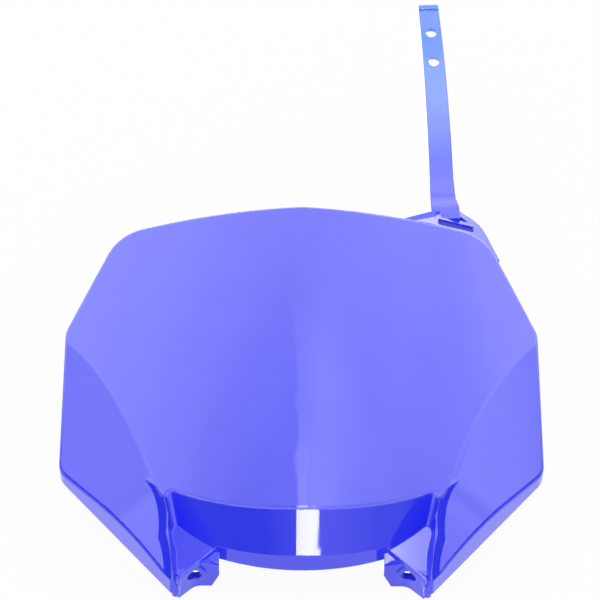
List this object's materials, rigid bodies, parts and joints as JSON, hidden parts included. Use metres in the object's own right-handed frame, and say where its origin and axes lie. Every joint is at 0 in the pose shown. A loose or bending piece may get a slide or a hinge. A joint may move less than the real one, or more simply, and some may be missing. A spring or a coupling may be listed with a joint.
{
  "type": "racing number board",
  "caption": "Front number board of a motocross bike: domed moulded plate with a keel, side facets, recessed chin, bolt brackets and a long strap that ties it to the handlebar",
  "frame": {"origin": "midway between the two lower bolt holes, on the front faces of their bosses", "axes": "+X to the right on the face, +Y up the board towards the strap, +Z out of the face"},
  "size_m": [0.2528, 0.3654, 0.0729],
  "materials": {
    "board_plastic": "gloss moulded blue plastic"
  },
  "bodies": {
    "root": {"number_board": "board_plastic"}
  },
  "joints": []
}
